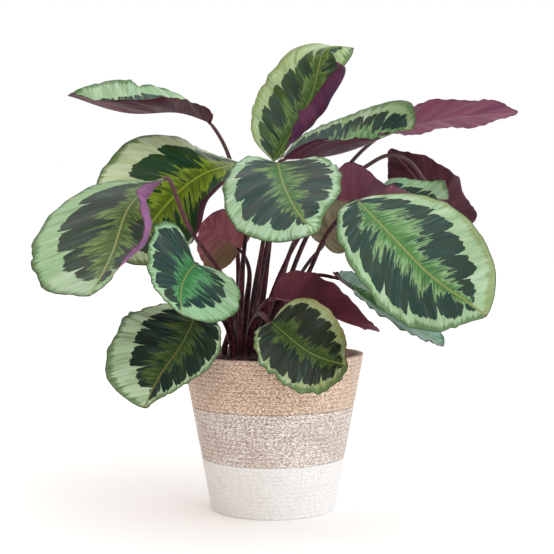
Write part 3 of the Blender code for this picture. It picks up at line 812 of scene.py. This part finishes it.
def add_piece(name, points, faces, materials, values=None):
    """A smooth mesh in the scene, with named values for its points where they are given."""
    mesh = bpy.data.meshes.new(name)
    mesh.from_pydata(np.asarray(points).tolist(), [], [list(map(int, face)) for face in faces])
    for key, layer in (values or {}).items():
        stored = mesh.attributes.new(key, "FLOAT", "POINT")
        stored.data.foreach_set("value", np.asarray(layer, np.float32))
    mesh.polygons.foreach_set("use_smooth", [True] * len(mesh.polygons))
    mesh.update()
    for material in materials:
        mesh.materials.append(material)
    return add_object(name, mesh)


def tube_faces(rings, around):
    """Faces of a tube of rings with this many points around, closed at both ends."""
    faces = []
    for ring in range(rings - 1):
        low, high = ring * around, (ring + 1) * around
        for a in range(around):
            b = (a + 1) % around
            faces.append((low + a, low + b, high + b, high + a))
    faces.append(list(range(around))[::-1])
    faces.append([(rings - 1) * around + a for a in range(around)])
    return faces


def stalk_line(leaf):
    """Centre points of the stalk, from its foot in the soil to just under the blade's base, where it thins out."""
    rib = smooth_line(leaf.rib, BASE_SAMPLES) * MM
    forward = unit(rib[1] - rib[0])
    looks = np.asarray(leaf.face[0], float)
    up = unit(looks - np.dot(looks, forward) * forward)
    base = rib[0] - up * (STALK_TIP_RADIUS * STALK_SEAT)
    end = rib[0] + forward * STALK_UNDER_BLADE - up * STALK_END_RADIUS
    x, y = np.array(leaf.foot) * MM
    bend = np.array([x, y, STALK_BEND_HEIGHT])
    passed = [np.array(point) * MM for point in leaf.stalk]
    joint = base - forward * STALK_JOINT / 2 - up * STALK_JOINT_DROP / 2
    above = smooth_line([bend, *passed, joint, base, end], STALK_STEPS)
    foot = np.linspace([x, y, STALK_FOOT_HEIGHT], bend, 4)
    return np.concatenate([foot[:-1], above])


def build_stalk(number, leaf, skin):
    """A round tube along the stalk's line, closed at both ends."""
    line = stalk_line(leaf)
    directions = unit(np.gradient(line, axis=0))
    walked = running_sum(steps_between(line))
    share = walked / walked[-1]
    radii = STALK_FOOT_RADIUS + (STALK_RADIUS - STALK_FOOT_RADIUS) * np.clip(share * STALK_TAPER, 0, 1)
    radii = radii + SHEATH * np.sin(np.pi * np.clip((walked - SHEATH_START) / SHEATH_LENGTH, 0, 1))
    left = walked[-1] - walked
    radii = radii + (STALK_TIP_RADIUS - STALK_RADIUS) * (1 - np.clip(left / STALK_TIP_LENGTH, 0, 1))
    radii = STALK_END_RADIUS + (radii - STALK_END_RADIUS) * np.sqrt(np.clip(left / STALK_END_LENGTH, 0, 1))
    side = np.array([1.0, 0.0, 0.0])
    points = []
    for centre, direction, radius in zip(line, directions, radii):
        side = unit(side - np.dot(side, direction) * direction)
        other = np.cross(direction, side)
        for corner in range(STALK_SIDES):
            turn = 2 * math.pi * corner / STALK_SIDES
            points.append(centre + radius * (math.cos(turn) * side + math.sin(turn) * other))
    faces = tube_faces(len(line), STALK_SIDES)
    values = {"rise": np.repeat(walked / STALK_COLOUR_REACH, STALK_SIDES)}
    made = add_piece(f"visual_leaf_{number:02d}_stalk", points, faces, [skin], values)
    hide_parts(f"leaf_{number:02d}_stalk")
    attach(made, "root")


def stalk_skin():
    """Dark brown and dark red in patches, with paler fibres, and greyer towards the blade."""
    dark, red = STALK_COLOURS
    shader = Shader("stalk_skin")
    rise = shader.attribute("rise")
    where = shader.where()
    drawn = shader.add("ShaderNodeMapping", {"Vector": where, "Scale": (700.0, 700.0, 30.0)}).outputs[0]
    fibres = shader.noise(drawn, 1.0, 3.0)
    bands = shader.add("ShaderNodeMapping", {"Vector": where, "Scale": (110.0, 110.0, 12.0)}).outputs[0]
    patches = shader.noise(bands, 1.0, 2.0)
    colour = shader.mix(shader.step(patches, 0.38, 0.62), dark, red)
    colour = shader.mix(shader.step(rise, 0.5, 0.95), colour, STALK_HIGH)
    colour = shader.mix(shader.step(fibres, 0.5, 0.7, 0.0, 0.65), colour, STALK_FIBRES)
    return shader.finish(
        Base_Color=colour,
        Roughness=shader.step(fibres, 0.3, 0.7, 0.35, 0.55),
        Specular_IOR_Level=0.25,
        Normal=shader.bump(fibres, 0.3 * MM, 0.5),
    )


def basket_radius(height):
    """The mean outer radius of the wall."""
    share = height / BASKET_HEIGHT
    return BASKET_BOTTOM_RADIUS + (BASKET_TOP_RADIUS - BASKET_BOTTOM_RADIUS) * share


def row_wall(bottom, top, steps, inside):
    """Rings of a stack of rope rows, from the bottom up, as radius and height for each point around."""
    count = ROWS_IN_BAND * steps
    around = 2 * np.pi * np.arange(AROUND) / AROUND
    rings = []
    for ring in range(count + 1):
        height = bottom + (top - bottom) * ring / count
        rows = ring / steps
        row = min(int(rows), ROWS_IN_BAND - 1)
        share = rows - row
        crest = math.sqrt(max(0.0, 1 - (2 * share - 1) ** 2))
        slant = 1 if row % 2 else -1
        strand = np.cos(STRANDS_AROUND * around + slant * STRAND_SLANT * (share - 0.5) * 2 + row * ROW_TURN)
        lump = sum(np.sin(waves * around + turn * row) * high for waves, turn, high in LUMPS)
        out = -ROW_DEPTH * (1 - crest) + STRAND_RELIEF * strand * crest + lump * MM * crest
        radius = basket_radius(height) + out if not inside else basket_radius(height) - BASKET_WALL - out
        rings.append((radius, np.full(AROUND, height)))
    return rings


def ring_points(rings):
    """Points of rings that are given as the radius and height of each point around."""
    count = len(rings[0][0])
    around = 2 * np.pi * np.arange(count) / count
    return np.concatenate([np.stack([r * np.cos(around), r * np.sin(around), h], axis=-1) for r, h in rings])


def ring_mesh(rings, closed_floor=None):
    """Joins rings into a closed skin. With a floor, the first and last rings are closed to a middle point."""
    points = ring_points(rings)
    count = len(rings)
    first = np.arange(AROUND)
    following = (first + 1) % AROUND
    faces = []
    pairs = range(count) if closed_floor is None else range(count - 1)
    for ring in pairs:
        low, high = ring * AROUND, (ring + 1) % count * AROUND
        faces.append(np.stack([low + first, low + following, high + following, high + first], axis=-1))
    faces = [list(face) for block in faces for face in block]
    if closed_floor is not None:
        under, above = closed_floor
        middle = len(points)
        points = np.concatenate([points, [[0, 0, under], [0, 0, above]]])
        last = (count - 1) * AROUND
        faces += [[middle, b, a] for a, b in zip(first, following)]
        faces += [[middle + 1, last + a, last + b] for a, b in zip(first, following)]
    return points, faces


def build_band(name, bottom, top, material, floor=False):
    """One third of the basket: rope rows outside, and inside from the floor up where there is one."""
    outer = row_wall(bottom, top, ROW_STEPS, False)
    inner = row_wall(max(bottom, BASKET_FLOOR if floor else 0), top, INNER_ROW_STEPS, True)[::-1]
    closed = (0.0, BASKET_FLOOR) if floor else None
    points, faces = ring_mesh(outer + inner, closed)
    made = add_piece(f"visual_{name}", points, faces, [material])
    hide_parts(name)
    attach(made, "root")


def rope(name, first, second, hollow_shade, contrast):
    """Twisted rope rows: short flat strands of two shades, slanted the other way in every second half row, with
    painted shade in the hollows.
    """
    shader = Shader(name)
    where = shader.where()
    x, y, z = shader.add("ShaderNodeSeparateXYZ", {"Vector": where}).outputs
    rows = shader.math("DIVIDE", z, BASKET_HEIGHT / BANDS / ROWS_IN_BAND)
    halves = shader.math("MULTIPLY", rows, 2.0)
    half = shader.math("FLOOR", halves)
    slant = shader.add_share(shader.math("MODULO", half, 2.0), 2.0, -1.0)
    turned = shader.math("MULTIPLY", shader.math("ARCTAN2", x, y), STRANDS_SEEN / (2 * math.pi))
    lean = shader.math("MULTIPLY", slant, shader.math("FRACT", halves))
    strand = shader.math("ADD", turned, lean)
    flat = shader.combine(strand, shader.math("MULTIPLY", halves, DASHES_IN_HALF_ROW))
    dashes = shader.noise(flat, 1.0, 1.0, 0.5)
    # each strand has its own shade, and its dashes are lighter or darker
    cell = shader.combine(shader.math("FLOOR", strand), half)
    pick = shader.add("ShaderNodeTexWhiteNoise", {"Vector": cell}, noise_dimensions="2D").outputs["Value"]
    shade = shader.math("MULTIPLY_ADD", pick, 0.45, shader.step(dashes, 0.38, 0.62, -0.2, 0.75), clamp=True)
    # hollows, painted darker as shade: creases between dashes, and the seam between rows, which is broken here and
    # there
    away = shader.math("ABSOLUTE", shader.math("SUBTRACT", shader.math("FRACT", rows), 0.5))
    seam = shader.step(away, 0.3, 0.5)
    broken = shader.step(shader.noise(where, 70.0, 2.0), 0.35, 0.65, 0.2 * SEAM_SHADE, SEAM_SHADE)
    crease = shader.step(dashes, 0.3, 0.46, 1.0, 0.0)
    hollow = shader.math("MAXIMUM", crease, shader.math("MULTIPLY", seam, broken))
    fluff = shader.noise(where, 900.0, 3.0, 0.6)
    patches = shader.noise(where, 16.0, 3.0, 0.6)
    colour = shader.mix(shade, first, second)
    colour = shader.mix(shader.step(patches, 0.38, 0.6, 0.22, 0.0), colour, first)
    # painted shade in the creases between dashes and the seams between rows
    colour = shader.mix(shader.math("MULTIPLY", hollow, contrast), colour, hollow_shade)
    colour = shader.mix(shader.step(fluff, 0.4, 0.7, 0.0, 0.2), colour, second)
    height = shader.add_share(hollow, -0.8, shader.math("MULTIPLY", fluff, 0.5))
    return shader.finish(
        Base_Color=colour,
        Roughness=shader.step(fluff, 0.3, 0.7, 0.8, 0.95),
        Normal=shader.bump(height, 0.4 * MM, 0.6),
        Sheen_Weight=0.15,
    )


def build_basket():
    height = BASKET_HEIGHT / BANDS
    white = rope("white_rope", *WHITE_ROPE)
    mixed = rope("mixed_rope", *MIXED_ROPE)
    tan = rope("tan_rope", *TAN_ROPE)
    build_band("basket_lower", 0.0, height, white, floor=True)
    build_band("basket_middle", height + GAP, 2 * height, mixed)
    build_band("basket_upper", 2 * height + GAP, BASKET_HEIGHT, tan)


def crumbs(x, y):
    """The height of the soil's lumps at a place, in metres."""
    total = 0
    for step, (size, turn) in enumerate(CRUMB_WAVES):
        u = (x * math.cos(turn) + y * math.sin(turn)) / (size * MM)
        v = (y * math.cos(turn) - x * math.sin(turn)) / (size * MM)
        total = total + size * np.sin(u * 2 * np.pi + 1.3 * np.sin(v * 2 + step)) * np.cos(v * 2 * np.pi + step)
    return total * CRUMB_HEIGHT * MM


def build_soil():
    """A plug that fills the growing pot, with a crown of crumbs."""
    bottom = BASKET_FLOOR + POT_WALL + 2 * GAP
    low, edge = (
        basket_radius(height) - BASKET_WALL - POT_CLEARANCE - POT_WALL - GAP for height in (bottom, SOIL_EDGE_HEIGHT)
    )
    count = SOIL_AROUND
    around = 2 * np.pi * np.arange(count) / count
    rings = [(np.full(count, low), np.full(count, bottom))]
    for share in np.linspace(1, 1 / SOIL_RINGS, SOIL_RINGS):
        radius = np.full(count, edge * share)
        x, y = radius * np.cos(around), radius * np.sin(around)
        rings.append((radius, SOIL_EDGE_HEIGHT + SOIL_CROWN * (1 - share**2) + crumbs(x, y) - SOIL_SINK))
    made = add_piece("visual_soil", ring_points(rings), tube_faces(len(rings), count), [soil_look()])
    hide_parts("soil")
    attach(made, "root")


def soil_look():
    """Dark and brown lumps with bits of bark."""
    dark, brown = SOIL_COLOURS
    shader = Shader("soil_crumbs")
    where = shader.where()
    lumps = shader.noise(where, 260.0, 5.0, 0.7)
    cells = shader.add("ShaderNodeTexVoronoi", {"Vector": where, "Scale": 220.0})
    colour = shader.mix(shader.step(lumps, 0.38, 0.66), dark, brown)
    colour = shader.mix(shader.step(cells.outputs["Distance"], 0.12, 0.26, 0.7, 0.0), colour, SOIL_BARK)
    height = shader.math("SUBTRACT", lumps, cells.outputs["Distance"])
    return shader.finish(
        Base_Color=colour,
        Roughness=shader.step(lumps, 0.3, 0.7, 0.8, 1.0),
        Normal=shader.bump(height, 2 * MM, 0.8),
    )


def paint_pot():
    """Gives the CAD's growing pot a scuffed black."""
    black, scuffed = POT_COLOURS
    shader = Shader("pot_plastic_look")
    where = shader.where()
    scuffs = shader.noise(where, 90.0, 4.0)
    colour = shader.mix(shader.step(scuffs, 0.4, 0.7), black, scuffed)
    material = shader.finish(
        Base_Color=colour,
        Roughness=shader.step(scuffs, 0.3, 0.7, 0.4, 0.7),
        Normal=shader.bump(scuffs, 0.2 * MM, 0.5),
    )
    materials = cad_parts["growing_pot"].data.materials
    materials.clear()
    materials.append(material)


def build_stage():
    bpy.ops.mesh.primitive_plane_add(size=FLOOR_SIZE)
    floor = bpy.context.object
    floor.name = "floor"
    floor.data.materials.append(Shader("floor").finish(Base_Color=FLOOR_COLOUR, Roughness=1.0))
    build_sky()


def build_sky():
    """A white surround, brighter above and to the right in front, darker and warmer to the left in front.

    It lights the scene in this way, and behind the object it is plain white.
    """
    world = bpy.data.worlds.new("studio")
    bpy.context.scene.world = world
    world.use_nodes = True
    sky = Nodes(world.node_tree)
    where = sky.add("ShaderNodeTexCoord").outputs["Generated"]
    level = SKY_LEVEL
    for direction, low, high, gain in SKY:
        level = sky.math("ADD", sky.step(sky.dot(where, direction), low, high, 0.0, gain), level)
    tint = sky.add("ShaderNodeValToRGB", {"Fac": sky.dot(where, WARM_SIDE)})
    white, warm = tint.color_ramp.elements
    white.color = (1, 1, 1, 1)
    white.position = WARM_START
    warm.color = WARM_TINT
    light = sky.tree.nodes["Background"]
    sky.put(light.inputs["Strength"], level)
    sky.put(light.inputs["Color"], tint.outputs[0])
    seen = sky.add("ShaderNodeBackground", {"Color": (1, 1, 1, 1)})
    choice = sky.add("ShaderNodeMixShader", {"Fac": sky.add("ShaderNodeLightPath").outputs["Is Camera Ray"]})
    sky.put(choice.inputs[1], light.outputs[0])
    sky.put(choice.inputs[2], seen.outputs[0])
    sky.put(sky.tree.nodes["World Output"].inputs["Surface"], choice.outputs[0])


def build_key_light():
    data = bpy.data.lights.new("key", "AREA")
    data.shape = "DISK"
    data.size = KEY_SIZE
    data.energy = KEY_ENERGY
    made = add_object("key", data)
    made.location = KEY_PLACE
    made.rotation_mode = "QUATERNION"
    made.rotation_quaternion = (Vector(KEY_TARGET) - Vector(KEY_PLACE)).to_track_quat("-Z", "Y")


def build_camera():
    data = bpy.data.cameras.new("camera")
    data.lens = CAMERA_LENS
    data.sensor_width = CAMERA_SENSOR
    data.clip_start = CAMERA_NEAREST
    made = add_object("camera", data)
    made.location = CAMERA_PLACE
    made.rotation_euler = (math.radians(90 - CAMERA_DIP), 0, 0)
    bpy.context.scene.camera = made


def main():
    skin = stalk_skin()
    for number, (leaf, look) in enumerate(zip(LEAVES, LOOKS), start=1):
        build_blade(number, leaf, look)
        build_stalk(number, leaf, skin)
    build_basket()
    build_soil()
    paint_pot()
    build_stage()
    build_key_light()
    build_camera()
    bpy.context.scene.view_settings.view_transform = "Standard"


main()
